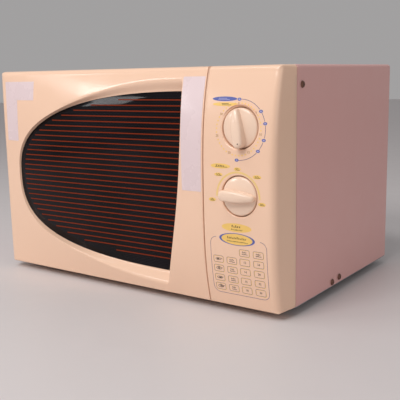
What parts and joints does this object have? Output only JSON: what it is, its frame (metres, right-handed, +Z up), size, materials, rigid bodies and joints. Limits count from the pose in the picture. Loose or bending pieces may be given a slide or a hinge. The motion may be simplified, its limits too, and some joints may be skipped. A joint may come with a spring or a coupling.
{
  "type": "microwave oven",
  "caption": "Compact countertop microwave oven with a left-hinged door, rounded window, two rotary knobs and a glass turntable.",
  "frame": {"origin": "on the surface the feet stand on, under the middle of the whole object's box", "axes": "+X to the right seen from the front, along the width; +Y from the door to the rear panel; +Z up"},
  "size_m": [0.4602, 0.332, 0.281],
  "materials": {
    "cover_paint": "semi-gloss enamel on sheet steel, very fine orange peel",
    "cavity_paint": "smooth baked enamel",
    "galvanised_steel": "zinc plated sheet",
    "bright_steel": "plated",
    "cream_plastic": "glossy moulded cream",
    "knob_plastic": "glossy moulded cream, a shade lighter",
    "smoked_pane": "near-black polished pane with thin red-brown lines",
    "clear_sheet": "clear polished sheet",
    "black_enamel": "black enamel, finely perforated",
    "black_plastic": "fine matt grain",
    "white_plastic": "fine matt moulded",
    "mica": "pressed mica flakes",
    "aluminium": "bare, lightly drawn",
    "laminated_iron": "stacked laminations, varnished",
    "copper_winding": "enamelled copper wire, varnished",
    "circuit_board": "solder-masked board",
    "clear_glass": "polished",
    "rubber": "matt"
  },
  "bodies": {
    "cabinet": {"outer_cover": "cover_paint", "base_plate": "galvanised_steel", "rear_panel": "galvanised_steel", "front_plate": "cavity_paint", "cavity_shell": "cavity_paint", "foot_front_left": "rubber", "foot_front_right": "rubber", "foot_rear_left": "rubber", "foot_rear_right": "rubber", "cord_gland": "black_plastic", "hinge_bracket_upper": "galvanised_steel", "hinge_bracket_lower": "galvanised_steel", "hinge_pin_upper": "bright_steel", "hinge_pin_lower": "bright_steel", "control_panel": "cream_plastic", "timer_unit": "white_plastic", "timer_bell": "bright_steel", "power_selector": "white_plastic", "latch_board": "white_plastic", "primary_switch": "black_plastic", "secondary_switch": "black_plastic", "monitor_switch": "black_plastic", "waveguide": "galvanised_steel", "waveguide_cover": "mica", "magnetron": "aluminium", "transformer_core": "laminated_iron", "transformer_windings": "copper_winding", "capacitor": "aluminium", "diode": "black_plastic", "noise_filter_board": "circuit_board", "air_guide": "white_plastic", "fan_motor": "laminated_iron", "lamp_holder": "white_plastic", "oven_lamp": "clear_glass", "turntable_motor": "galvanised_steel", "cover_screw_left_front_top": "bright_steel", "cover_screw_left_middle_low": "bright_steel", "cover_screw_left_forward_low": "bright_steel", "cover_screw_right_front_top": "bright_steel", "cover_screw_right_middle_low": "bright_steel", "cover_screw_right_forward_low": "bright_steel"},
    "door": {"door_outer": "cream_plastic", "door_window": "smoked_pane", "door_panel": "galvanised_steel", "door_screen": "black_enamel", "door_choke_cover": "black_plastic", "door_inner_sheet": "clear_sheet", "latch_spring": "bright_steel"},
    "latch": {"latch_lever": "white_plastic"},
    "timer_control": {"timer_knob": "knob_plastic", "timer_shaft": "bright_steel"},
    "power_control": {"power_knob": "knob_plastic", "power_shaft": "bright_steel"},
    "fan": {"fan_blade": "white_plastic"},
    "turntable": {"turntable_coupler": "white_plastic"},
    "tray": {"glass_tray": "clear_glass"},
    "roller_ring": {"roller_ring": "white_plastic"},
    "roller_1": {"roller_1": "white_plastic"},
    "roller_2": {"roller_2": "white_plastic"},
    "roller_3": {"roller_3": "white_plastic"}
  },
  "joints": [
    {"name": "door_hinge", "type": "hinge", "parent": "cabinet", "child": "door", "pos_m": [-0.216, -0.13032, 0.145], "axis": [0, 0, -1], "range_deg": [0, 100]},
    {"name": "latch_lift", "type": "slide", "parent": "door", "child": "latch", "axis": [0, 0, 1], "range_m": [0, 0.005], "stiffness_N_per_m": 300, "springref_m": -0.01, "deforming": ["latch_spring"]},
    {"name": "timer_turn", "type": "hinge", "parent": "cabinet", "child": "timer_control", "pos_m": [0.1793, -0.14733, 0.2143], "axis": [0, 1, 0], "range_deg": [0, 300]},
    {"name": "power_turn", "type": "hinge", "parent": "cabinet", "child": "power_control", "pos_m": [0.1793, -0.15032, 0.14], "axis": [0, -1, 0], "range_deg": [0, 200]},
    {"name": "fan_spin", "type": "hinge", "parent": "cabinet", "child": "fan", "pos_m": [0.167, 0.10768, 0.166], "axis": [0, 1, 0], "continuous": true},
    {"name": "turntable_spin", "type": "hinge", "parent": "cabinet", "child": "turntable", "pos_m": [-0.0485, 0.02067, 0.043], "axis": [0, 0, 1], "continuous": true},
    {"name": "tray_lift", "type": "slide", "parent": "turntable", "child": "tray", "axis": [0, 0, 1], "range_m": [0, 0.06]},
    {"name": "ring_spin", "type": "hinge", "parent": "cabinet", "child": "roller_ring", "pos_m": [-0.0485, 0.02067, 0.047], "axis": [0, 0, 1], "continuous": true},
    {"name": "roller_1_spin", "type": "hinge", "parent": "roller_ring", "child": "roller_1", "pos_m": [-0.0485, 0.10867, 0.0473], "axis": [0, 1, 0], "continuous": true},
    {"name": "roller_2_spin", "type": "hinge", "parent": "roller_ring", "child": "roller_2", "pos_m": [-0.12471, -0.02332, 0.0473], "axis": [-0.866, -0.5, 0], "continuous": true},
    {"name": "roller_3_spin", "type": "hinge", "parent": "roller_ring", "child": "roller_3", "pos_m": [0.02771, -0.02332, 0.0473], "axis": [0.866, -0.5, 0], "continuous": true}
  ],
  "couplings": [
    {"joint": "ring_spin", "follows": "turntable_spin", "ratio": 0.5},
    {"joint": "roller_1_spin", "follows": "turntable_spin", "ratio": -5.5},
    {"joint": "roller_2_spin", "follows": "turntable_spin", "ratio": -5.5},
    {"joint": "roller_3_spin", "follows": "turntable_spin", "ratio": -5.5}
  ]
}
